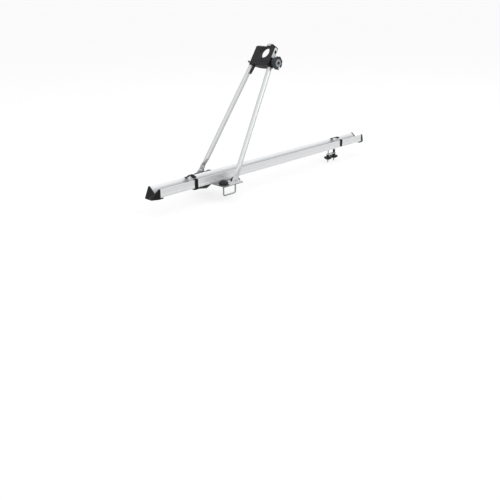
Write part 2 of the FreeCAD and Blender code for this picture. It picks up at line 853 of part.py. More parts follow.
def in_arm_frame(thing):
    """Move a piece drawn along an arm, from the pivot up, to where the arm stands."""
    thing.Placement = FreeCAD.Placement(FreeCAD.Vector(), FreeCAD.Rotation(-ACROSS, 1))
    thing.setExpression("Placement.Rotation.Angle", expand("ArmTilt"))
    place(thing, "PivotX", 0, "PivotHeight")
    return thing


def leaned(name, side, thing):
    """Turn a piece that lies along X into the line of one arm's tube."""
    turned_piece = group(name, thing)
    turned_piece.Placement = FreeCAD.Placement(FreeCAD.Vector(), FreeCAD.Rotation(UP * -side, 1))
    turned_piece.setExpression("Placement.Rotation.Angle", expand(LEAN))
    place(turned_piece, 0, f"{side} * {ARM_FOOT}", 0)
    return turned_piece


def tube_y(side, station):
    return f"{side} * ({ARM_FOOT} - ({station}) * {SLOPE})"


def tube_screw(name, side, start, end, radius):
    return rod(name, "Z", ("TubeScrewStation", tube_y(side, "TubeScrewStation"), start), radius,
               f"({end}) - ({start})")


def make_arms():
    """Tubes pressed flat at the foot, drawn along X with the flat ends upright."""
    upright = FreeCAD.Placement(FreeCAD.Vector(), FreeCAD.Rotation(ACROSS, -90))
    for name, side in SIDES:
        lug = new_body(f"{name}Lug")
        thickness = span(side, LUG_INSIDE, LUG_OUTSIDE)
        pad(lug, "XZ", *thickness, [rectangle("0", "LugStraight", "-LugWidth / 2", "LugWidth / 2")])
        pad(lug, "XZ", *thickness, circles=[(("0", "0"), "LugWidth / 2")])
        flat_end = doc.addObject("Part::Ellipse", "FlatEnd")
        flat_end.Placement = upright
        place(flat_end, "LugStraight", f"{side} * {ARM_FOOT}", 0)
        bind(flat_end, MajorRadius="LugWidth / 2", MinorRadius="LugThickness / 2")
        round_end = doc.addObject("Part::Circle", "RoundEnd")
        round_end.Placement = upright
        place(round_end, "LugShoulder", tube_y(side, "LugShoulder"), 0)
        bind(round_end, Radius="TubeRadius - FlareStep")
        flare = doc.addObject("Part::Loft", "Flare")
        flare.Sections = [flat_end, round_end]
        flare.Solid = True
        flare.Ruled = True
        start = f"(LugShoulder - TubeRadius * {SLOPE})"
        tube = ring("Tube", "X", (start, 0, 0), "TubeRadius", "TubeRadius - TubeWall", f"TubeEnd - {start}")
        solid = fuse(f"{name}ArmSolid", lug, flare, leaned(f"{name}Tube", side, tube))
        pivot = rod("PivotHole", "Y", (0, "-PlateWidth", 0), "PivotBolt / 2 + RunningFit", "PlateWidth * 2")
        screw = tube_screw("TubeScrewHole", side, "-TubeRadius * 2", "TubeRadius * 2", TUBE_SCREW_HOLE)
        node(in_arm_frame(cut(f"{name}Arm", solid, pivot, screw)), f"{name}_arm")


# Frame clamp head

def side_prism(name, top):
    """Side view of the head: deep round the tubes and spindle, slim round the ring."""
    prism = new_body(name)
    outline = [
        ("HeadBottom - HeadChin", "-HeadBack"),
        ("WaistLow", "-HeadBack"),
        ("WaistTop", "0"),
        (top, "0"),
        (top, "HeadFront - TopCorner"),
        (f"{top} - TopCorner", "HeadFront"),
        ("HeadBottom - HeadChin", "HeadFront"),
    ]
    pad(prism, "XZ", "-HeadNear", "HeadFar", [outline])
    return prism


def plan_prism(name, outline):
    """Front view of one part of the head, right through its depth."""
    prism = new_body(name)
    pad(prism, "XY", "-HeadBack", "HeadFront", [outline])
    return prism


def spindle_rod(name, radius, start, end):
    """Cylinder on the spindle's line between two places across the head."""
    return rod(name, "Y", ("SpindleStation", start, "-SpindleDrop"), radius, f"({end}) - ({start})")


def make_head_body():
    """Fixed part: the base with both tube sockets, and the far half of the ring."""
    outline = [
        ("HeadBottom", "-HeadNear"),
        ("HeadShoulder", "-HeadNear"),
        ("HeadShoulder", SPLIT_FAR),
        ("FixedTop", SPLIT_FAR),
        ("FixedTop", "HeadFarTop - HeadCorner"),
        ("FixedTop - HeadCorner", "HeadFarTop"),
        ("HeadShoulder", "HeadFar"),
        ("HeadBottom + HeadCorner", "HeadFar"),
        ("HeadBottom", "HeadFarTop"),
        ("HeadBottom - HeadChin", "ChinFar"),
        ("HeadBottom - HeadChin", "-ChinNear"),
    ]
    block = common("FixedBlock", side_prism("FixedSide", "FixedTop"), plan_prism("FixedPlan", outline))
    bosses = []
    tools = []
    for name, side in SIDES:
        boss = rod("Boss", "X", ("HeadBottom", 0, 0), "TubeRadius + SocketWall", "HeadShoulder - HeadBottom")
        bosses.append(leaned(f"{name}Boss", side, boss))
        socket = rod("Socket", "X", ("HeadBottom - HeadFar", 0, 0), "TubeRadius + SocketGap",
                     "TubeEnd + SocketEnd - HeadBottom + HeadFar")
        tools.append(leaned(f"{name}Socket", side, socket))
        tools.append(tube_screw("ScrewWay", side, "-HeadBack * 2", "HeadFront * 2", TUBE_SCREW_HOLE))
    tools.append(ring_hole("RingHole"))
    tools.append(spindle_rod("SpindleWay", "SpindleRadius + BoltClearance", "-HeadNear", "SpindleReach + 1"))
    tools.append(spindle_nut_box("NutPocket", "RunningFit"))
    slot = "LeverWidth / 2 + BoltClearance"
    tools.append(box("LeverSlot", ("HeadBottom - HeadChin * 2", "LeverX + LeverThickness"),
                     ("LeverY - LeverSlotHalf", "LeverY + LeverSlotHalf"), (f"-({slot})", slot)))
    tools.append(rod("LeverPinHole", "Z", ("LeverX", "LeverY", "-HeadBack * 2"),
                     "LeverPinRadius + RunningFit", "HeadBack * 2 + LeverPinTop"))
    node(in_arm_frame(cut("HeadBody", fuse("FixedSolid", block, *bosses), *tools)), "head_body")


def ring_hole(name):
    return rod(name, "Z", ("RingStation", "-RingCentreY", "-HeadBack * 2"), "RingRadius + RingLining",
               "HeadBack * 2 + HeadFront * 2")


def spindle_nut_box(name, gap):
    half = f"(SpindleNutWidth / 2 + {gap})"
    tall = f"(SpindleNutHeight / 2 + {gap})"
    return box(name, (f"SpindleStation - {half}", f"SpindleStation + {half}"),
               (SPLIT_FAR, f"{SPLIT_FAR} + SpindleNutLength + {gap}"),
               (f"-SpindleDrop - {tall}", f"-SpindleDrop + {tall}"))


def make_tube_screws():
    screws = []
    for name, side in SIDES:
        shank = tube_screw("TubeScrewShank", side, "-HeadBack", "HeadFront", "TubeScrewRadius")
        head = tube_screw("TubeScrewHead", side, "HeadFront", "HeadFront + TubeScrewHeadHeight",
                          "TubeScrewHead")
        screws.append(fuse(f"{name}TubeScrew", shank, head))
    node(in_arm_frame(group("TubeScrews", *screws)), "tube_fixing_screws")


def make_linings():
    """Two halves of a rubber ring, one in each half of the clamp."""
    depth = ("LiningCentre - LiningWidth / 2", "LiningCentre + LiningWidth / 2")
    reach = "(RingRadius * 2)"
    halves = (
        ("fixed_jaw_pad", f"-{reach} * 2", SPLIT_FAR),
        ("sliding_jaw_pad", SPLIT_NEAR, reach),
    )
    centre = ("RingStation", "-RingCentreY")
    for name, open_low, open_high in halves:
        lining = new_body(name)
        pad(lining, "XY", *depth,
            circles=[(centre, "RingRadius + RingLining - RunningFit"), (centre, "RingRadius")])
        pocket(lining, "XY", *depth,
               [rectangle(f"RingStation - {reach}", f"RingStation + {reach}", open_low, open_high)])
        node(in_arm_frame(lining), name)


def badge_outline(inset):
    """Side plate's outline, with its upper front corner cut like the jaw's."""
    start = f"(BadgeStart + {inset})"
    end = f"(BadgeEnd - {inset})"
    back = f"(BadgeBack + {inset})"
    front = f"(BadgeFront - {inset})"
    return [(start, back), (end, back), (end, f"{front} - BadgeCorner"), (f"{end} - BadgeCorner", front),
            (start, front)]


def make_sliding_jaw():
    outline = [(JAW_BOTTOM, "-HeadNear"), ("JawCorner", "-HeadNear"), ("HeadTop", "-JawSlopeY"),
               ("HeadTop", SPLIT_NEAR), (JAW_BOTTOM, SPLIT_NEAR)]
    block = common("JawBlock", side_prism("JawSide", "HeadTop"), plan_prism("JawPlan", outline))
    boss = spindle_rod("JawBoss", "JawBossRadius", "-HeadNear - JawBossLength", "-HeadNear + SocketWall")
    recess = new_body("BadgeRecess")
    pad(recess, "XZ", "-HeadNear * 2", "BadgeRecess - HeadNear", [badge_outline("0")])
    way = spindle_rod("JawWay", "SpindleRadius + BoltClearance", "-HeadNear * 2", "0")
    collar_room = spindle_rod("CollarRoom", "SpindleCollar + BoltClearance",
                              f"{SPLIT_NEAR} - SpindleCollarLength - BoltClearance * 2", "0")
    jaw = cut("SlidingJaw", fuse("JawSolid", block, boss), ring_hole("JawRing"), recess, way, collar_room)
    node(in_arm_frame(jaw), "sliding_jaw")


def make_jaw_trim():
    plate = new_body("BadgePlate")
    pad(plate, "XZ", "BadgeRecess - HeadNear - BadgeThickness", "BadgeRecess - HeadNear",
        [badge_outline("BoltClearance")])
    node(in_arm_frame(plate), "side_badge_plate")
    oval = new_body("BadgeOval")
    plate_face = "(BadgeRecess - HeadNear - BadgeThickness)"
    depth = (f"{plate_face} - BadgeOvalRise", plate_face)
    reach = "(BadgeOvalLength / 2 - BadgeOvalHeight / 2)"
    half = "BadgeOvalHeight / 2"
    pad(oval, "XZ", *depth, [rectangle(f"BadgeOvalStation - {reach}", f"BadgeOvalStation + {reach}",
                                       f"BadgeOvalLift - {half}", f"BadgeOvalLift + {half}")])
    for end in (-1, 1):
        pad(oval, "XZ", *depth, circles=[((f"BadgeOvalStation + {end} * {reach}", "BadgeOvalLift"), half)])
    node(in_arm_frame(oval), "badge_oval")
    insert = new_body("TopInsert")
    high = f"{SPLIT_NEAR} - InsertInset"
    outline = [
        ("HeadTop - InsertLip", "HeadFront"),
        ("HeadTop - TopCorner", "HeadFront"),
        ("HeadTop", "HeadFront - TopCorner"),
        ("HeadTop", "InsertBack"),
        ("HeadTop + InsertRise", "InsertBack"),
        ("HeadTop + InsertRise", "HeadFront - TopCorner"),
        ("HeadTop - TopCorner", "HeadFront + InsertRise"),
        ("HeadTop - InsertLip", "HeadFront + InsertRise"),
    ]
    pad(insert, "XZ", f"{high} - InsertSpan", high, [outline])
    node(in_arm_frame(insert), "jaw_top_insert")


def make_spindle():
    shaft = spindle_rod("Shaft", "SpindleRadius", f"-{GRIP_BACK} - SpindleSeat", "SpindleReach")
    collar = spindle_rod("Collar", "SpindleCollar", f"{SPLIT_NEAR} - SpindleCollarLength", SPLIT_NEAR)
    node(in_arm_frame(fuse("Spindle", shaft, collar)), "jaw_spindle")
    thread = spindle_rod("NutThread", "SpindleRadius + RunningFit", "-HeadNear", "SpindleReach")
    node(in_arm_frame(cut("SpindleNut", spindle_nut_box("NutBlock", "0"), thread)), "spindle_nut")


def make_clamp_knob():
    rim_start = f"-{GRIP_FACE} + GripRim"
    rim = spindle_rod("GripRimDisc", "GripRadius", f"-{GRIP_FACE}", rim_start)
    flare = doc.addObject("Part::Cone", "GripFlare")
    flare.Placement = FreeCAD.Placement(FreeCAD.Vector(), AXIS_TURN["Y"])
    place(flare, "SpindleStation", rim_start, "-SpindleDrop")
    bind(flare, Radius1="GripRadius", Radius2="GripBase", Height="GripLength - GripRim")
    tools = [
        spindle_rod("LockRoom", "LockRadius + RunningFit", f"-{GRIP_FACE}", f"-{GRIP_FACE} + LockLength"),
        spindle_rod("SpindleRoom", "SpindleRadius + RunningFit", f"-{GRIP_BACK} - SpindleSeat",
                    f"-{GRIP_BACK}"),
    ]
    count = int(number("GripNotches"))
    for step in range(count):
        turn = 360 * (step + 0.5) / count
        x = f"SpindleStation + GripNotchOffset * cos({turn})"
        z = f"-SpindleDrop + GripNotchOffset * sin({turn})"
        tools.append(rod("GripNotch", "Y", (x, f"-{GRIP_FACE}", z), "GripNotchRadius", "GripLength"))
    node(in_arm_frame(cut("ClampKnob", fuse("GripSolid", rim, flare), *tools)), "clamp_knob")
    cap_depth = (f"-{GRIP_FACE} - FaceThickness", f"-{GRIP_FACE}")
    cap = cut("FaceCap", spindle_rod("FaceDisc", "FaceRadius", *cap_depth),
              spindle_rod("FaceHole", "LockRadius + RunningFit", *cap_depth))
    node(in_arm_frame(cap), "knob_face_cap")
    front = f"(-{GRIP_FACE} - FaceThickness - LockProud)"
    barrel = spindle_rod("LockBarrel", "LockRadius", front, f"-{GRIP_FACE} + LockLength")
    half = "KeySlotWidth / 2"
    key_slot = box("KeySlot", (f"SpindleStation - {half}", f"SpindleStation + {half}"),
                   (front, f"{front} + KeySlotDepth"),
                   ("-SpindleDrop - KeySlotLength / 2", "-SpindleDrop + KeySlotLength / 2"))
    node(in_arm_frame(cut("LockCylinder", barrel, key_slot)), "lock_cylinder")
    tab = new_body("FaceTab")
    corners = []
    for radial, sideways in ((0, -1), (1, -1), (1, 1), (0, 1)):
        out = f"(TabStart + {radial} * TabLength)"
        aside = f"({sideways} * TabWidth / 2)"
        corners.append((f"SpindleStation + {out} * cos(TabTurn) - {aside} * sin(TabTurn)",
                        f"-SpindleDrop + {out} * sin(TabTurn) + {aside} * cos(TabTurn)"))
    pad(tab, "XZ", f"-{GRIP_FACE} - TabThickness", f"-{GRIP_FACE}", [corners])
    node(in_arm_frame(tab), "knob_face_tab")


def make_release_lever():
    lever = new_body("ReleaseLever")
    depth = ("-LeverWidth / 2", "LeverWidth / 2")
    half = "LeverThickness / 2"
    end_x = "LeverX - LeverReach"
    end_y = "LeverY + LeverReach * tan(LeverSlant)"
    pad(lever, "XY", *depth, [[("LeverX", f"LeverY - {half}"), ("LeverX", f"LeverY + {half}"),
                               (end_x, f"{end_y} + {half}"), (end_x, f"{end_y} - {half}")]])
    pad(lever, "XY", *depth, circles=[(("LeverX", "LeverY"), "LeverEye")])
    pocket(lever, "XY", *depth, circles=[(("LeverX", "LeverY"), "LeverPinRadius + RunningFit")])
    node(in_arm_frame(lever), "jaw_release_lever")
    pin = rod("LeverPin", "Z", ("LeverX", "LeverY", "-HeadBack"), "LeverPinRadius", "HeadBack + LeverPinTop")
    node(in_arm_frame(group("LeverPinGroup", pin)), "lever_pin")


# Wheel straps with cam buckles

def strap_outline(bottom, peak, thickness):
    side = f"(RailWidth / 2 + StrapGap + {thickness})"
    lip = f"({RAIL_TOP} + StrapGap + {thickness} / 2)"
    return [
        (f"-{side}", f"{bottom} - {thickness}"),
        (side, f"{bottom} - {thickness}"),
        (side, lip),
        ("0", f"{RAIL_TOP} + {peak} + {thickness}"),
        (f"-{side}", lip),
    ]


def on_slope(thing, x, peak):
    """Move a buckle piece to the near slope of a strap's arch."""
    thing.Placement = FreeCAD.Placement(FreeCAD.Vector(), FreeCAD.Rotation(FreeCAD.Vector(1, 0, 0), 1))
    thing.setExpression("Placement.Rotation.Angle",
                        expand(f"atan(({peak} - StrapGap) / (RailWidth / 2 + StrapGap))"))
    place(thing, x, "-RailWidth / 2 - StrapGap", f"{RAIL_TOP} + StrapGap")
    return thing


def make_buckle(name, x, peak):
    outside = "(StrapWidth / 2 + BuckleSheet)"
    inside = "(StrapWidth / 2)"
    run = ("BuckleStart", "BuckleStart + BuckleLength")
    sheet_top = "(-StrapGap)"
    sheet_bottom = "(-StrapGap - BuckleSheet)"
    pieces = [box("BuckleTop", (f"-{outside}", outside), run, (sheet_bottom, sheet_top))]
    for side in (-1, 1):
        pieces.append(box("BuckleCheek", span(side, inside, outside), run, ("-BuckleDepth", sheet_bottom)))
    spot = ("BuckleStart + BucklePinStation", "-BucklePinDepth")
    hole = rod("PinHole", "X", (f"-{outside} * 2", *spot), "BucklePinRadius + RunningFit", f"{outside} * 4")
    frame = cut("BuckleFrame", fuse("BuckleSheetMetal", *pieces), hole)
    node(on_slope(frame, x, peak), f"{name}_buckle_frame")
    half = f"({inside} - StrapGap)"
    barrel = rod("CamBarrel", "X", (f"-{half}", *spot), "CamRadius", f"{half} * 2")
    lever = box("CamLeverPlate", (f"-{half}", half), (f"{spot[0]} - CamLever", spot[0]),
                (f"{spot[1]} - CamRadius", f"{spot[1]} - CamRadius + CamThickness"))
    bore = rod("CamBore", "X", (f"-{half}", *spot), "BucklePinRadius + RunningFit", f"{half} * 2")
    cam = cut("BuckleCam", fuse("CamSolid", barrel, lever), bore)
    node(on_slope(cam, x, peak), f"{name}_buckle_cam")
    pin = rod("BucklePin", "X", (f"-{outside} - BuckleSheet / 2", *spot), "BucklePinRadius",
              f"({outside} + BuckleSheet / 2) * 2")
    node(on_slope(group("BucklePinGroup", pin), x, peak), f"{name}_buckle_pin")


def make_straps():
    for name, x, bottom, peak in (("front", "-FrontStrapX", "(-TongueTipDrop - StrapGap)", "FrontPeak"),
                                  ("rear", "RearStrapX", f"({RAIL_BOTTOM} - StrapGap)", "RearPeak")):
        strap = new_body(f"{name}Strap")
        loops = [strap_outline(bottom, peak, "StrapThickness"), strap_outline(bottom, peak, "0")]
        pad(strap, "YZ", f"{x} - StrapWidth / 2", f"{x} + StrapWidth / 2", loops)
        limit = number("RailWidth / 2 + StrapGap + StrapThickness") - NEAR_ENOUGH
        round_edges(strap, "StrapRounding",
                    lambda edge: along(edge, AHEAD) and abs(edge.CenterOfMass.y) > limit)
        node(strap, f"{name}_strap")
        make_buckle(name, x, peak)


# Rear clamp for the second roof bar

def make_rear_clamp():
    bolts = []
    sizes = (("front", "ClampFrontX"), ("rear", "ClampRearX"))
    half = "SlotNutWidth / 2"
    seat = f"({SLOT_SEAT} + LugGap)"
    for name, x in sizes:
        head = box("SlotBoltHead", (f"{x} - {half}", f"{x} + {half}"), (f"-{half}", half),
                   (seat, f"{seat} + SlotNutHeight"))
        shank = rod("SlotBoltShank", "Z", (x, 0, "-ClampTip"), "BoltRadius", f"ClampTip + {seat}")
        bolts.append(fuse("SlotBolt", head, shank))
        make_clamp_knob_below(name, x)
    node(group("SlotBolts", *bolts), "rear_slot_bolts")
    plate = new_body("ClampPlate")
    ends = ("ClampFrontX - ClampPlateEnd", "ClampRearX + ClampPlateEnd")
    wide = ("-ClampPlateWidth / 2", "ClampPlateWidth / 2")
    holes = [((x, "0"), BOLT_HOLE) for _, x in sizes]
    pad(plate, "XY", "-ClampPlateTop - ClampPlateThickness", "-ClampPlateTop",
        [rectangle(*ends, *wide)], holes)
    node(plate, "rear_clamp_plate")
    sleeve = ring("BoltSleeve", "Z", ("ClampRearX", 0, "-ClampPlateTop"), "SleeveRadius", BOLT_HOLE,
                  "ClampPlateTop - SleeveTop")
    node(sleeve, "rear_bolt_sleeve")


def make_clamp_knob_below(name, x):
    """Star knob under the plate, drawn upright and turned over."""
    bore = "(InsertRadius + RunningFit)"
    outline = [
        (BOLT_HOLE, "-ClampKnobBoss"),
        ("WasherRadius", "-ClampKnobBoss"),
        ("WasherRadius", "0"),
        ("ClampKnobRadius", "0"),
        ("ClampKnobRadius", "KnobRim"),
        ("KnobCrown", "ClampKnobHeight"),
        (BOLT_HOLE, "ClampKnobHeight"),
        (BOLT_HOLE, "InsertLength"),
        (bore, "InsertLength"),
        (bore, "0"),
        (BOLT_HOLE, "0"),
    ]
    knob = new_body(f"{name}ClampKnob")
    turned(knob, outline)
    round_rim(knob)
    notch_knob(knob, "ClampKnobHeight", "(ClampKnobRadius + KnobNotchRadius - KnobNotchDepth)")
    insert = ring(f"{name}ClampInsert", "Z", (0, 0, 0), "InsertRadius", "BoltRadius + RunningFit",
                  "InsertLength")
    for thing, label in ((knob, f"rear_clamp_{name}_knob"), (insert, f"rear_clamp_{name}_knob_insert")):
        thing.Placement = FreeCAD.Placement(FreeCAD.Vector(), FreeCAD.Rotation(FreeCAD.Vector(1, 0, 0), 180))
        place(thing, x, 0, "-ClampPlateTop - ClampPlateThickness - RunningFit - ClampKnobBoss")
        node(thing, label)


# Build, check and write every sub-part

def check_document():
    faults = [thing.Label for thing in doc.Objects if {"Invalid", "Error"} & set(thing.State)]
    for name, thing in nodes.items():
        shape = thing.Shape
        if shape.isNull() or not shape.isValid() or not shape.Solids:
            faults.append(name)
    if faults:
        raise RuntimeError("failed objects: " + ", ".join(sorted(set(faults))))


def write_parts():
    os.makedirs("parts", exist_ok=True)
    for name, thing in nodes.items():
        thing.Shape.exportStep(f"parts/{name}.step")
        print(f"{name}: {len(thing.Shape.Solids)} solids, {thing.Shape.Volume / 1000:.2f} cm3")


make_rail()
make_end_caps()
make_wall_rivets()
make_bracket_base()
make_bar_pad()
make_base_screws()
make_ears()
make_u_bolts()
make_u_bolt_washers()
make_front_knobs()
make_pivots()
make_arms()
make_head_body()
make_tube_screws()
make_linings()
make_sliding_jaw()
make_jaw_trim()
make_spindle()
make_clamp_knob()
make_release_lever()
make_straps()
make_rear_clamp()
doc.recompute()
check_document()
write_parts()
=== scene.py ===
# %% [markdown]
# A roof carrier for one bicycle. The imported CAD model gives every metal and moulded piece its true
# size and place, so the first cell only loads it. Everything after that dresses it: finishes made of
# shader nodes, and new meshes where a plain solid is not enough, such as webbing and screw threads.

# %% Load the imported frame
import json
import math

import bmesh
import bpy
from mathutils import Matrix, Vector


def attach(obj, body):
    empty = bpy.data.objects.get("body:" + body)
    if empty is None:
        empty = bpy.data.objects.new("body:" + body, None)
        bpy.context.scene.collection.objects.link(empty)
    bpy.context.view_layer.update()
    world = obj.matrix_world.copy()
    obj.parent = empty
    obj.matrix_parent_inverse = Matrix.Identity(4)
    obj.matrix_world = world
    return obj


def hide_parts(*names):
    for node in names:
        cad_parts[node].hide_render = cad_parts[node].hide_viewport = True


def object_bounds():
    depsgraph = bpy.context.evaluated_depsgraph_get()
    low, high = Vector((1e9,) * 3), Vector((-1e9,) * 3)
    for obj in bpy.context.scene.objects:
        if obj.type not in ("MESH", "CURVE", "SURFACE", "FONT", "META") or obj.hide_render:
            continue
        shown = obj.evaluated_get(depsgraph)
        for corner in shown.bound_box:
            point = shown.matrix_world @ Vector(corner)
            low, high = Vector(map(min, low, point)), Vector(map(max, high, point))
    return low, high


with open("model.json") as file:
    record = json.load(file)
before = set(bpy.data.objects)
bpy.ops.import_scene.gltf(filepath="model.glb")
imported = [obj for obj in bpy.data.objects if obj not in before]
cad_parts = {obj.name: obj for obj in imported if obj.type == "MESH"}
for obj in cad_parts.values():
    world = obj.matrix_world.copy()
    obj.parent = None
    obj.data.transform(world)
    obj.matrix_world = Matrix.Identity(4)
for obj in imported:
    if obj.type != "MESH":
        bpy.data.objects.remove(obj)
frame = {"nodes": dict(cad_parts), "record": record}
nodes = frame["nodes"]
cad_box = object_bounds()
MM = 0.001

# %% [markdown]
# The photograph looks down on the carrier from its front near corner. One camera was fitted to the
# rail, the arms and the head together. It stands 0.85 m above the roof bar, and its frame is square.

# %% Camera
PHOTO_SIDE = 500
FOCAL_PIXELS = 715.8
SENSOR = 36.0
camera_data = bpy.data.cameras.new("photo_camera")
camera_data.sensor_width = SENSOR
camera_data.lens = FOCAL_PIXELS / PHOTO_SIDE * SENSOR
camera_data.clip_start = 0.01
camera = bpy.data.objects.new("photo_camera", camera_data)
camera.location = (-2.0376, -2.1191, 0.8471)
YAW = 43.33
PITCH = -21.63
camera.rotation_euler = (math.radians(90 + PITCH), 0, math.radians(YAW - 90))
bpy.context.scene.collection.objects.link(camera)
bpy.context.scene.camera = camera
bpy.context.scene.view_settings.view_transform = "Standard"
print("lens in mm:", round(camera_data.lens, 2))

# %% [markdown]
# Shader maths reads best as plain sums. This small class wraps one output socket, and the usual
# operators add Math nodes, so that 1 - mask works. Every other node comes from Finish.node, which
# takes the node's type, its settings, and the values or links of its inputs.

# %% A socket that Python can do sums with
class Signal:
    def __init__(self, finish, socket):
        self.finish = finish
        self.socket = socket

    def maths(self, operation, first, second):
        return self.finish.node("ShaderNodeMath", {"operation": operation}, {0: first, 1: second})

    def __add__(self, other):
        return self.maths("ADD", self, other)

    def __sub__(self, other):
        return self.maths("SUBTRACT", self, other)

    def __rsub__(self, other):
        return self.maths("SUBTRACT", other, self)

    def __mul__(self, other):
        return self.maths("MULTIPLY", self, other)

    __radd__ = __add__


# %% A finish: one material and the nodes behind it
class Finish:
    def __init__(self, name, **sockets):
        self.material = bpy.data.materials.new(name)
        self.material.use_nodes = True
        self.tree = self.material.node_tree
        self.shader = self.tree.nodes["Principled BSDF"]
        self.set(**sockets)

    def set(self, **sockets):
        for name, value in sockets.items():
            self.feed(self.shader.inputs[name.replace("_", " ")], value)

    def feed(self, socket, value):
        if isinstance(value, Signal):
            self.tree.links.new(value.socket, socket)
        elif socket.type == "RGBA" and len(value) == 3:
            socket.default_value = (*value, 1)
        else:
            socket.default_value = value

    def node(self, kind, settings=None, inputs=None, output=0):
        made = self.tree.nodes.new(kind)
        for name, value in (settings or {}).items():
            setattr(made, name, value)
        for name, value in (inputs or {}).items():
            self.feed(made.inputs[name], value)
        return Signal(self, made.outputs[output])

    def place(self, scale=(1, 1, 1), turn=(0, 0, 0)):
        """Object coordinates in millimetres, turned to a grain's direction and then stretched."""
        coordinates = self.node("ShaderNodeTexCoord", output="Object")
        size = [MM / value for value in scale]
        return self.node("ShaderNodeMapping", {"vector_type": "TEXTURE"},
                         {"Vector": coordinates, "Scale": size, "Rotation": turn})

    def split(self, where):
        """Three signals for the X, Y and Z of a place."""
        first = self.node("ShaderNodeSeparateXYZ", inputs={"Vector": where})
        return [Signal(self, output) for output in first.socket.node.outputs]

    def noise(self, where, scale, detail=3.0):
        return self.node("ShaderNodeTexNoise", inputs={"Vector": where, "Scale": scale, "Detail": detail,
                                                       "Roughness": 0.5}, output="Fac")

    def mix(self, amount, first, second):
        return self.node("ShaderNodeMix", {"data_type": "RGBA"}, {0: amount, 6: first, 7: second}, output=2)

    def bump(self, height, distance):
        normal = self.node("ShaderNodeBump", inputs={"Height": height, "Distance": distance * MM,
                                                     "Strength": 1.0})
        self.set(Normal=normal)


# %% [markdown]
# The rail is an aluminium extrusion with a clear satin anodising. The die leaves long faint lines
# that all run down the rail, so the noise is stretched along X. A little handling wear varies how
# sharp the reflections are.

# %% Extruded and drawn aluminium
def drawn_metal(name, color, rough, along, turn=(0, 0, 0), wear=0.06, metallic=1.0):
    """Satin metal with lines along one axis. along scales the grain down on that axis."""
    finish = Finish(name, Metallic=metallic)
    grain = finish.noise(finish.place(along, turn), 1.0, detail=4.0)
    cloud = finish.noise(finish.place(), 0.03, detail=2.0)
    finish.set(Roughness=rough + (grain - 0.5) * 0.08 + (cloud - 0.5) * wear)
    darker = [value * 0.94 for value in color]
    finish.set(Base_Color=finish.mix(grain * 0.5 + cloud * 0.5, darker, color))
    finish.bump(grain, 0.006)
    return finish


def groove_painted_shade(finish, groove_shade_color):
    """Painted shade: darker colour towards the bottom of the rail's V groove, between its walls."""
    _, y, z = finish.split(finish.place())
    inside = finish.node("ShaderNodeMapRange", inputs={0: y.maths("ABSOLUTE", y, 0), 1: 30.5, 2: 29.5})
    depth = finish.node("ShaderNodeMapRange", {"interpolation_type": "SMOOTHSTEP"}, {0: z, 1: 38.0, 2: 22.0})
    # The plain colour, which the painted shade darkens in the groove.
    unshaded_color = finish.shader.inputs["Base Color"].links[0].from_socket
    finish.set(Base_Color=finish.mix(inside * depth, Signal(finish, unshaded_color), groove_shade_color))


ARM_TILT = math.radians(58)
rail_finish = drawn_metal("rail_anodised", (0.92, 0.925, 0.935), 0.48, (0.004, 1.6, 1.6), metallic=0.45)
# Painted shade: the rail's V groove is darkened towards its bottom.
groove_painted_shade(rail_finish, (0.40, 0.41, 0.425))
arm_finish = drawn_metal("arm_tube_satin", (0.72, 0.735, 0.74), 0.38, (0.01, 1.0, 1.0), (0, -ARM_TILT, 0),
                          metallic=0.7)
plate_finish = drawn_metal("foot_plate_coated", (0.78, 0.80, 0.80), 0.52, (0.5, 0.5, 0.5), metallic=0.7)
bracket_finish = drawn_metal("bracket_steel", (0.30, 0.31, 0.32), 0.46, (0.4, 0.4, 0.4), metallic=0.5)
print("metal finishes ready")

# %% [markdown]
# Bolts, nuts and washers are zinc plated. The plating is duller and slightly blotchy, and the
# turned faces carry fine rings, which at this size read as a soft random grain.

# %% Zinc and brass
zinc_finish = drawn_metal("zinc_plate", (0.66, 0.67, 0.67), 0.36, (0.3, 0.3, 0.3), wear=0.16)
wire_finish = drawn_metal("zinc_wire", (0.42, 0.43, 0.435), 0.38, (0.3, 0.3, 0.3), wear=0.16)
brass_finish = drawn_metal("turned_brass", (0.78, 0.62, 0.33), 0.3, (0.4, 0.4, 0.4))


# %% [markdown]
# The moulded parts are black plastic with a spark-eroded grain: a fine random bump that breaks up
# the highlights. Sliding contact polishes the high spots, so the roughness drifts from place to place.

# %% Moulded plastics, rubber and powder coat
ROUGHNESS_DRIFT = 0.12


def moulded(name, color, rough, grain_size, depth):
    """Grained surface that is not metal."""
    finish = Finish(name, Metallic=0.0, Specular_IOR_Level=0.25)
    grain = finish.noise(finish.place(), grain_size, detail=3.0)
    cloud = finish.noise(finish.place(), 0.05, detail=2.0)
    finish.set(Roughness=rough + (cloud - 0.5) * ROUGHNESS_DRIFT)
    lighter = [value * 1.3 for value in color]
    finish.set(Base_Color=finish.mix(cloud, color, lighter))
    finish.bump(grain, depth)
    return finish


plastic_finish = moulded("black_moulding", (0.005, 0.005, 0.006), 0.44, 2.2, 0.05)
head_finish = moulded("head_moulding", (0.016, 0.0155, 0.018), 0.46, 2.2, 0.06)
lining_finish = moulded("ring_lining", (0.040, 0.045, 0.048), 0.6, 1.2, 0.06)
knob_finish = moulded("black_grip", (0.017, 0.020, 0.023), 0.40, 1.6, 0.05)
grip_finish = moulded("slate_grip", (0.036, 0.042, 0.046), 0.42, 1.6, 0.05)
rubber_finish = moulded("matt_rubber", (0.012, 0.012, 0.013), 0.75, 1.2, 0.08)
coat_finish = moulded("black_powder_coat", (0.014, 0.015, 0.016), 0.5, 1.5, 0.06)
face_finish = moulded("grey_face_plastic", (0.30, 0.32, 0.34), 0.38, 2.2, 0.03)
light_finish = moulded("light_plate_plastic", (0.74, 0.76, 0.77), 0.36, 2.2, 0.03)
white_finish = moulded("white_tab_plastic", (0.86, 0.87, 0.87), 0.3, 2.2, 0.02)
print("moulded finishes ready")

# %% [markdown]
# Each CAD node keeps its own mesh and only gets a finish. The record names a material slot for every
# node, so one small table from slot to finish dresses them all.

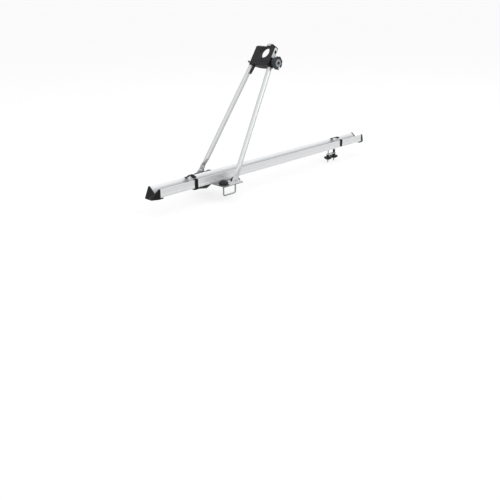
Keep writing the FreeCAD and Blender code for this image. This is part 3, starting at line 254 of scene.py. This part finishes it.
# %% Dress the CAD nodes
SLOT_FINISH = {
    "rail_aluminium": rail_finish,
    "arm_metal": arm_finish,
    "grey_metal": plate_finish,
    "zinc_steel": zinc_finish,
    "bracket_steel": bracket_finish,
    "black_steel": coat_finish,
    "black_plastic": plastic_finish,
    "black_rubber": rubber_finish,
    "grey_plastic": face_finish,
    "light_plate": light_finish,
    "white_plastic": white_finish,
    "black_webbing": rubber_finish,
    "brass": brass_finish,
}
for part in frame["record"]["subparts"]:
    mesh = nodes[part["node"]].data
    mesh.materials.clear()
    mesh.materials.append(SLOT_FINISH[part["material_slot"]].material)
for name in nodes:
    if name.endswith("_knob"):
        nodes[name].data.materials[0] = knob_finish.material
for name in ("fixed_jaw_pad", "sliding_jaw_pad"):
    nodes[name].data.materials[0] = lining_finish.material
print("dressed", len(nodes), "nodes")


# %% [markdown]
# The pieces that follow are new meshes. Each one is a bmesh that ends as an object at the origin, with
# its place in its mesh. It then says which body carries it and which plain CAD node it stands in for.

# %% Helpers for new pieces
def finish_piece(name, bm, finish, body, replaced):
    """Turn a bmesh into an object at the origin that rides on a body and replaces one CAD node."""
    mesh = bpy.data.meshes.new(name)
    bm.to_mesh(mesh)
    bm.free()
    mesh.shade_smooth()
    mesh.materials.append(finish.material)
    piece = bpy.data.objects.new(name, mesh)
    bpy.context.scene.collection.objects.link(piece)
    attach(piece, body)
    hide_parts(replaced)
    return piece


# %% [markdown]
# Webbing is a flat woven band, so it is a strip of quads that is bent round the rail: a grid from
# bmesh, whose long side is walked along the strap's line. The line starts at the buckle's bar, goes
# over the near wall, under the rail and up the far wall, then rises over the buckle's frame and ends
# in a short tail. It turns in small arcs at the rail's edges, as stiff webbing does. The weave
# follows the strip's own UV map.

# %% Webbing finish
def webbing():
    finish = Finish("woven_webbing", Metallic=0.0, Specular_IOR_Level=0.2)
    uv = finish.node("ShaderNodeUVMap", {"uv_map": "weave"})
    ribs = finish.node("ShaderNodeTexWave", {"wave_type": "BANDS", "bands_direction": "X"},
                       {"Vector": uv, "Scale": 0.26, "Distortion": 0.0}, output="Fac")
    yarns = finish.node("ShaderNodeTexWave", {"wave_type": "BANDS", "bands_direction": "Y"},
                        {"Vector": uv, "Scale": 0.35, "Distortion": 0.0}, output="Fac")
    weave = ribs * 0.55 + yarns * 0.45
    finish.set(Base_Color=finish.mix(weave, (0.004, 0.004, 0.005), (0.016, 0.016, 0.018)))
    finish.set(Roughness=0.85 - weave * 0.15)
    finish.bump(weave, 0.25)
    return finish


webbing_finish = webbing()


# %% Walk a strap's line
def rounded_line(corners, bend, steps=6):
    """Points along a line of corners, each turned in a small arc."""
    points = []
    for before, corner, after in zip(corners, corners[1:], corners[2:]):
        reach = min(bend, (corner - before).length / 2.1, (after - corner).length / 2.1)
        first = corner + (before - corner).normalized() * reach
        last = corner + (after - corner).normalized() * reach
        for step in range(steps + 1):
            share = step / steps
            points.append(first.lerp(corner, share).lerp(corner.lerp(last, share), share))
    return [corners[0]] + points + [corners[-1]]


STRIP_SPACING = 1.5 * MM
STRIP_COLUMNS = 6


def strip_along(points, width, thickness):
    """Flat band of quads along a line in the YZ plane, with a UV map in millimetres."""
    lengths = [(after - before).length for before, after in zip(points, points[1:])]
    total = sum(lengths)
    count = int(total / STRIP_SPACING)
    bm = bmesh.new()
    bmesh.ops.create_grid(bm, x_segments=count, y_segments=STRIP_COLUMNS, size=0.5)
    weave = bm.loops.layers.uv.new("weave")
    for face in bm.faces:
        for loop in face.loops:
            place = loop.vert.co
            loop[weave].uv = ((place.x + 0.5) * total / MM, place.y * width / MM)
    for vert in bm.verts:
        run = (vert.co.x + 0.5) * total
        index = 0
        while index < len(lengths) - 1 and run > lengths[index]:
            run -= lengths[index]
            index += 1
        spot = points[index].lerp(points[index + 1], min(run / lengths[index], 1.0))
        vert.co = (spot.x + vert.co.y * width, spot.y, spot.z)
    bmesh.ops.recalc_face_normals(bm, faces=bm.faces)
    bmesh.ops.solidify(bm, geom=bm.faces, thickness=thickness)
    return bm


# %% Wheel straps
RAIL_HALF = 32.5
RAIL_TOP = 39.4
STRAP_GAP = 0.4
STRAP_WIDTH = 18 * MM
STRAP_THICKNESS = 1.7 * MM
STRAP_BEND = 4 * MM
SIDE_PLAY = 0.2
LIP_PLAY = 0.6
CREST_DROP = 1.2
BUCKLE_BAR = -22
FLAT_END = 19
CREST_FAR = 6
CREST_NEAR = -5
TAIL_LIFT = 8


def make_strap(name, middle, bottom, peak, tail):
    """Band from the buckle's bar round the rail to its tail. tail is where it ends, across the rail."""
    side = RAIL_HALF + STRAP_GAP + SIDE_PLAY
    lip = RAIL_TOP + STRAP_GAP + LIP_PLAY
    crest = RAIL_TOP + peak - CREST_DROP
    flat = [(BUCKLE_BAR, lip + 0.4), (-side, lip + 1.6), (-side, bottom), (side, bottom),
            (side, lip + 0.6), (FLAT_END, lip + 1.8), (CREST_FAR, crest), (CREST_NEAR, crest),
            (tail, lip + TAIL_LIFT)]
    line = rounded_line([Vector((middle, y, z)) * MM for y, z in flat], STRAP_BEND)
    bm = strip_along(line, STRAP_WIDTH, STRAP_THICKNESS)
    strap = finish_piece(f"{name}_webbing", bm, webbing_finish, f"{name}_strap",
                         f"{name}_strap")
    print(strap.name, "is", round(sum((b - a).length for a, b in zip(line, line[1:])), 3), "m long")


make_strap("front", middle=-143, bottom=-2.9, peak=17, tail=-25)
make_strap("rear", middle=838.5, bottom=5.6, peak=13, tail=-15)

# %% [markdown]
# Every hand knob is a turned dome with finger valleys pressed into its rim. Spinning one profile gives
# the dome, and moving the outer vertices inwards along a cosine gives the valleys, which stay soft
# where a cut with a cylinder would leave sharp edges.

# %% Spin a profile and press valleys into it
def spun(profile, steps):
    """Closed solid of revolution about Z from (radius, height) pairs in millimetres."""
    bm = bmesh.new()
    verts = [bm.verts.new((radius * MM, 0, height * MM)) for radius, height in profile]
    edges = [bm.edges.new(pair) for pair in zip(verts, verts[1:])]
    bmesh.ops.spin(bm, geom=verts + edges, cent=(0, 0, 0), axis=(0, 0, 1), angle=math.tau, steps=steps,
                   use_merge=True)
    bmesh.ops.remove_doubles(bm, verts=bm.verts, dist=0.002 * MM)
    bmesh.ops.recalc_face_normals(bm, faces=bm.faces)
    return bm


def press_valleys(bm, count, depth, inner, outer, sharpness, first=0.0):
    """Pull the rim inwards at even angles. depth and radii are in millimetres, first in degrees."""
    for vert in bm.verts:
        radius = math.hypot(vert.co.x, vert.co.y) / MM
        if radius <= inner:
            continue
        angle = math.atan2(vert.co.y, vert.co.x) - math.radians(first)
        valley = (0.5 + 0.5 * math.cos(count * angle)) ** sharpness
        share = min((radius - inner) / (outer - inner), 1.0)
        scale = 1 - depth * share * valley / radius
        vert.co.x *= scale
        vert.co.y *= scale


KNOB_CREASE = 50
THREAD_CREASE = 30
KNOB_STEPS = 96


def crease(bm, limit):
    """Keep the edges sharp where two faces meet at more than limit degrees."""
    for edge in bm.edges:
        if len(edge.link_faces) == 2 and edge.calc_face_angle(0) > math.radians(limit):
            edge.smooth = False


# %% Dome knobs on the U-bolts
DOME = [(5.2, 0.3), (18.4, 0.3), (19.2, 0.0), (20.2, 0.1), (20.8, 0.7), (21.0, 1.8), (21.0, 4.2),
        (20.5, 5.8), (19.2, 7.4), (17.2, 9.2), (14.6, 11.4), (12.0, 13.3), (10.0, 14.5), (8.6, 15.0),
        (7.4, 15.0), (6.9, 14.5), (6.2, 14.2), (5.4, 14.3), (4.8, 14.9), (3.0, 15.0), (0.0, 15.0)]
LEG_X = 34.7
LEG_Y = 79
KNOB_SEAT = 9.7


def make_dome_knob(side, end, x, y):
    name = f"{side}_{end}_knob"
    bm = spun(DOME, KNOB_STEPS)
    press_valleys(bm, count=8, depth=2.6, inner=9.5, outer=19.5, sharpness=2.2)
    crease(bm, KNOB_CREASE)
    bmesh.ops.translate(bm, verts=bm.verts, vec=Vector((x, y, KNOB_SEAT)) * MM)
    finish_piece(f"{name}_dome", bm, knob_finish, name, name)


for side, y in (("near", -LEG_Y), ("far", LEG_Y)):
    make_dome_knob(side, "front", -LEG_X, y)
    make_dome_knob(side, "rear", LEG_X, y)
print("dome knobs:", 4)

# %% Star knobs of the rear clamp
STAR = [(3.2, -11.5), (7.4, -11.5), (8.0, -11.0), (8.0, -1.0), (8.6, -0.3), (18.0, 0.0), (19.8, 0.2),
        (20.5, 1.2), (20.5, 4.0), (19.9, 5.4), (18.2, 7.0), (15.2, 9.2), (12.0, 11.4), (9.8, 12.7),
        (8.0, 13.0), (4.2, 13.0), (3.6, 12.4), (3.2, 12.2)]
CLAMP_BOLTS = {"front": 777, "rear": 825}
CLAMP_KNOB_SEAT = -39.58


def make_star_knob(end, x):
    name = f"rear_clamp_{end}_knob"
    bm = spun(STAR, KNOB_STEPS)
    press_valleys(bm, count=8, depth=2.8, inner=9.5, outer=19.0, sharpness=1.8)
    crease(bm, KNOB_CREASE)
    bmesh.ops.rotate(bm, verts=bm.verts, matrix=Matrix.Rotation(math.pi, 3, "X"))
    bmesh.ops.translate(bm, verts=bm.verts, vec=Vector((x, 0, CLAMP_KNOB_SEAT)) * MM)
    finish_piece(f"{name}_star", bm, knob_finish, name, name)


for end, x in CLAMP_BOLTS.items():
    make_star_knob(end, x)
print("star knobs:", len(CLAMP_BOLTS))

# %% [markdown]
# A screw thread is the same spin with a step along the axis for every step of the turn. The profile
# is one pitch tall, so each turn starts where the last one ended. Two cuts trim the ends square.

# %% Threads
BOLT_RADIUS = 3
BOLT_PITCH = 1


def threaded_rod(low, high):
    """M6 rod along Z with a V thread, between two heights in millimetres."""
    bm = bmesh.new()
    root = BOLT_RADIUS - 0.55 * BOLT_PITCH
    start = low - 2 * BOLT_PITCH
    turns = int((high - start) / BOLT_PITCH) + 2
    profile = [(root, 0.0), (BOLT_RADIUS, 0.38), (BOLT_RADIUS, 0.5), (root, 0.88), (root, 1.0)]
    verts = [bm.verts.new((radius * MM, 0, (start + share * BOLT_PITCH) * MM)) for radius, share in profile]
    edges = [bm.edges.new(pair) for pair in zip(verts, verts[1:])]
    per_turn = 16
    bmesh.ops.spin(bm, geom=verts + edges, cent=(0, 0, 0), axis=(0, 0, 1), angle=math.tau * turns,
                   dvec=(0, 0, BOLT_PITCH * MM / per_turn), steps=per_turn * turns)
    bmesh.ops.remove_doubles(bm, verts=bm.verts, dist=0.01 * MM)
    for height, outward in ((low, -1), (high, 1)):
        geometry = bm.verts[:] + bm.edges[:] + bm.faces[:]
        bmesh.ops.bisect_plane(bm, geom=geometry, plane_co=(0, 0, height * MM), plane_no=(0, 0, outward),
                               clear_outer=True)
        rim = [edge for edge in bm.edges if edge.is_boundary
               and all(abs(vert.co.z / MM - height) < 0.01 for vert in edge.verts)]
        bmesh.ops.triangle_fill(bm, use_beauty=True, edges=rim)
    bmesh.ops.recalc_face_normals(bm, faces=bm.faces)
    return bm


def join_into(bm, other, move=(0, 0, 0)):
    """Copy another bmesh into bm, moved by millimetres."""
    bmesh.ops.translate(other, verts=other.verts, vec=Vector(move) * MM)
    loose = bpy.data.meshes.new("loose")
    other.to_mesh(loose)
    other.free()
    bm.from_mesh(loose)
    bpy.data.meshes.remove(loose)


BLOCK_BEVEL = 0.4


def block(size):
    """Box about the origin with small bevels, sizes in millimetres."""
    bm = bmesh.new()
    bmesh.ops.create_cube(bm, size=1, matrix=Matrix.Diagonal((*(Vector(size) * MM), 1)))
    bmesh.ops.bevel(bm, geom=bm.edges[:], offset=BLOCK_BEVEL * MM, segments=2, profile=0.5, affect="EDGES",
                    material=-1)
    return bm


# %% Slot bolts of the rear clamp
SLOT_BOLT_END = -65
T_HEAD_BOTTOM = 8
T_HEAD_SIZE = (14, 14, 4.5)
T_HEAD_MIDDLE = 10.45
slot_bolts = bmesh.new()
for x in CLAMP_BOLTS.values():
    join_into(slot_bolts, threaded_rod(SLOT_BOLT_END, T_HEAD_BOTTOM), (x, 0, 0))
    join_into(slot_bolts, block(T_HEAD_SIZE), (x, 0, T_HEAD_MIDDLE))
crease(slot_bolts, THREAD_CREASE)
finish_piece("slot_bolt_threads", slot_bolts, zinc_finish, "rear_clamp_bolts",
             "rear_slot_bolts")


# %% [markdown]
# Each U-bolt is one bent steel wire. A curve with a round section follows a line whose corners are
# small arcs, which keeps the wire equally thick all round. The two legs are threaded where their
# knobs run.

# %% U-bolts
THREAD_START = -14
THREAD_END = 20
U_BOLT_BOTTOM = -43
U_BOLT_BEND = 9 * MM


def make_u_bolt(side, y):
    run = [(-LEG_X, THREAD_START), (-LEG_X, U_BOLT_BOTTOM), (LEG_X, U_BOLT_BOTTOM), (LEG_X, THREAD_START)]
    line = rounded_line([Vector((x, y, z)) * MM for x, z in run], U_BOLT_BEND, steps=8)
    curve = bpy.data.curves.new("wire", "CURVE")
    curve.dimensions = "3D"
    curve.bevel_depth = BOLT_RADIUS * MM
    curve.bevel_resolution = 6
    curve.use_fill_caps = True
    spline = curve.splines.new("POLY")
    spline.points.add(len(line) - 1)
    for point, place in zip(spline.points, line):
        point.co = (*place, 1)
    wire = bpy.data.objects.new("wire", curve)
    bpy.context.scene.collection.objects.link(wire)
    bm = bmesh.new()
    bm.from_mesh(wire.to_mesh())
    bpy.data.objects.remove(wire)
    bmesh.ops.recalc_face_normals(bm, faces=bm.faces)
    for x in (-LEG_X, LEG_X):
        join_into(bm, threaded_rod(THREAD_START, THREAD_END), (x, y, 0))
    crease(bm, THREAD_CREASE)
    finish_piece(f"{side}_u_bolt_wire", bm, wire_finish, f"{side}_u_bolt", f"{side}_u_bolt")


make_u_bolt("near", -LEG_Y)
make_u_bolt("far", LEG_Y)
print("threaded pieces done")

# %% [markdown]
# The clamp head is injection moulded, so none of its edges is sharp. A copy of each solid is remeshed
# in small voxels and smoothed, which rounds every edge by about a millimetre, also where three
# surfaces meet, and then thinned again where it is flat.

# %% Rounded copies of moulded solids
FACES_KEPT = 0.5


def moulded_copy(name, finish, body, voxel, rounds):
    """Remeshed, smoothed and thinned copy of a black moulded solid. voxel is in millimetres."""
    piece = bpy.data.objects.new(f"{name}_moulded", nodes[name].data.copy())
    bpy.context.scene.collection.objects.link(piece)
    bm = bmesh.new()
    bm.from_mesh(piece.data)
    bmesh.ops.remove_doubles(bm, verts=bm.verts, dist=0.001 * MM)
    bm.to_mesh(piece.data)
    bm.free()
    remesh = piece.modifiers.new("voxels", "REMESH")
    remesh.mode = "VOXEL"
    remesh.voxel_size = voxel * MM
    soften = piece.modifiers.new("soften", "SMOOTH")
    soften.factor = 0.5
    soften.iterations = rounds
    thin = piece.modifiers.new("thin", "DECIMATE")
    thin.ratio = FACES_KEPT
    graph = bpy.context.evaluated_depsgraph_get()
    mesh = bpy.data.meshes.new_from_object(piece.evaluated_get(graph))
    piece.modifiers.clear()
    piece.data = mesh
    mesh.materials.clear()
    mesh.materials.append(finish.material)
    mesh.shade_smooth()
    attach(piece, body)
    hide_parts(name)
    print(piece.name, len(mesh.polygons), "faces")


moulded_copy("head_body", head_finish, "arm_frame", voxel=0.8, rounds=6)
moulded_copy("sliding_jaw", head_finish, "sliding_jaw", voxel=0.7, rounds=5)
moulded_copy("front_end_cap", plastic_finish, "carrier", voxel=0.6, rounds=4)
moulded_copy("rear_end_cap", plastic_finish, "carrier", voxel=0.6, rounds=4)

# %% [markdown]
# The clamp's grip flares towards the hand and has eight soft finger valleys. Its line points across
# the carrier, so the spun shape is laid over with a turn about X. The grey face is a thin turned ring.

# %% Clamp grip and its face
PIVOT = Vector((8, 0, 22.6))
ARM_ALONG = Vector((math.cos(ARM_TILT), 0, math.sin(ARM_TILT)))
ARM_OUT = Vector((-math.sin(ARM_TILT), 0, math.cos(ARM_TILT)))


def in_arm_frame(bm, station, across, out):
    """Move a shape made about Z, with Z pointing at the near side, to its place on the arms."""
    turn = Matrix((ARM_ALONG, ARM_OUT, Vector((0, -1, 0)))).transposed()
    bmesh.ops.rotate(bm, verts=bm.verts, matrix=turn)
    spot = PIVOT + ARM_ALONG * station + ARM_OUT * out + Vector((0, across, 0))
    bmesh.ops.translate(bm, verts=bm.verts, vec=spot * MM)


GRIP_STATION = 526.5
GRIP_BACK = -63.6
GRIP_DROP = -2
GRIP = [(3.2, 0.2), (19.4, 0.0), (20.6, 0.5), (21.2, 1.6), (22.4, 5.2), (24.6, 11.4), (27.0, 17.0),
        (28.5, 19.6), (29.0, 21.0), (28.7, 22.5), (27.6, 23.5), (25.8, 23.9), (18.2, 23.9), (17.2, 23.4),
        (16.4, 23.0), (6.3, 23.0), (6.3, 9.5), (3.2, 9.5)]
grip = spun(GRIP, 128)
press_valleys(grip, count=8, depth=2.4, inner=17.5, outer=25.5, sharpness=1.3, first=22.5)
crease(grip, KNOB_CREASE)
in_arm_frame(grip, GRIP_STATION, GRIP_BACK, GRIP_DROP)
finish_piece("clamp_grip", grip, grip_finish, "clamp_knob", "clamp_knob")

FACE = [(6.1, 23.1), (6.1, 25.4), (6.9, 26.0), (14.6, 26.0), (15.6, 25.6), (16.0, 24.8), (16.0, 23.1)]
face = spun(FACE, 64)
in_arm_frame(face, GRIP_STATION, GRIP_BACK, GRIP_DROP)
crease(face, KNOB_CREASE)
finish_piece("grip_face_ring", face, face_finish, "clamp_knob", "knob_face_cap")
print("clamp grip done")

# %% [markdown]
# The photograph has no floor: the carrier floats on white. A pale floor under the lowest bolt keeps a
# soft shadow. The camera and the metal's reflections see the rest as plain white, through Light Path,
# while the light on the object stays at a plain level.

# %% Floor
FLOOR_GLOW = 0.6
floor_mesh = bpy.data.meshes.new("floor")
bm = bmesh.new()
bmesh.ops.create_grid(bm, x_segments=1, y_segments=1, size=60)
bmesh.ops.translate(bm, verts=bm.verts, vec=(0.3, 0, cad_box[0][2] - 1 * MM))
bm.to_mesh(floor_mesh)
bm.free()
floor = bpy.data.objects.new("floor", floor_mesh)
bpy.context.scene.collection.objects.link(floor)
floor_finish = Finish("pale_floor", Base_Color=(0.9, 0.9, 0.9), Roughness=0.9)
tree = floor_finish.tree
glow = floor_finish.node("ShaderNodeEmission", inputs={"Color": (1, 1, 1), "Strength": 1.3})
seen = floor_finish.node("ShaderNodeLightPath", output="Is Camera Ray")
blend = floor_finish.node("ShaderNodeMixShader", inputs={0: seen * FLOOR_GLOW})
tree.links.new(floor_finish.shader.outputs[0], blend.socket.node.inputs[1])
tree.links.new(glow.socket, blend.socket.node.inputs[2])
tree.links.new(blend.socket, tree.nodes["Material Output"].inputs["Surface"])
floor_mesh.materials.append(floor_finish.material)

# %% Lights and surroundings
AMBIENT = 0.44
world = bpy.data.worlds.new("studio")
bpy.context.scene.world = world
world.use_nodes = True
sky = world.node_tree
background = sky.nodes["Background"]
background.inputs["Color"].default_value = (1, 1, 1, 1)
seen_sky = sky.nodes.new("ShaderNodeLightPath")
strength = sky.nodes.new("ShaderNodeMath")
strength.operation = "MAXIMUM"
strength.inputs[1].default_value = AMBIENT
plain = sky.nodes.new("ShaderNodeMath")
plain.operation = "MAXIMUM"
sky.links.new(seen_sky.outputs["Is Camera Ray"], plain.inputs[0])
sky.links.new(seen_sky.outputs["Is Glossy Ray"], plain.inputs[1])
sky.links.new(plain.outputs[0], strength.inputs[0])
sky.links.new(strength.outputs[0], background.inputs["Strength"])


LIGHT_TARGET = (0.3, 0, 0.1)


def soft_light(name, place, size, watts):
    """Round lamp that points at the middle of the carrier, in metres and watts."""
    light = bpy.data.lights.new(name, "AREA")
    light.shape = "DISK"
    light.size = size
    light.energy = watts
    lamp = bpy.data.objects.new(name, light)
    lamp.location = place
    lamp.rotation_euler = (Vector(LIGHT_TARGET) - Vector(place)).to_track_quat("-Z", "Y").to_euler()
    bpy.context.scene.collection.objects.link(lamp)


soft_light("key", (1.4, -2.6, 2.4), size=3.6, watts=42)
soft_light("fill", (-2.4, -1.6, 2.2), size=3.0, watts=8)
soft_light("top", (0.6, 1.0, 3.2), size=3.0, watts=15)
print("lights:", len(bpy.data.lights))
